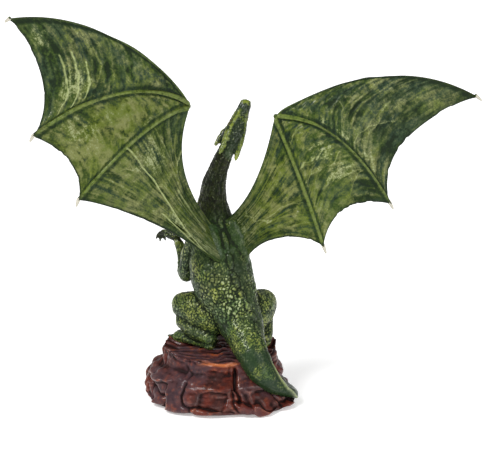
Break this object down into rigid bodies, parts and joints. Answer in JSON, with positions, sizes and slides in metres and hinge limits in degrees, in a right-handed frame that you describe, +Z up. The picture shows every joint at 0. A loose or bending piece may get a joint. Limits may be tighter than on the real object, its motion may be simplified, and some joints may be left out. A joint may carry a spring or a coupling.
{
  "type": "dragon figurine",
  "caption": "Seated dragon with raised, spread wings on a rock plinth; a small moulded, hand-painted display figure.",
  "frame": {"origin": "middle of the plinth's flat underside", "axes": "+Z up; the dragon faces -Y, so +X is its left-hand side"},
  "size_m": [0.1828, 0.0596, 0.1528],
  "materials": {
    "rock_paint": "satin paint, dry-brushed",
    "hide_paint": "satin paint, dry-brushed",
    "wing_paint": "satin paint, dry-brushed"
  },
  "bodies": {
    "root": {"rock_plinth": "rock_paint", "dragon_body": "hide_paint", "left_wing": "wing_paint", "right_wing": "wing_paint"}
  },
  "joints": []
}
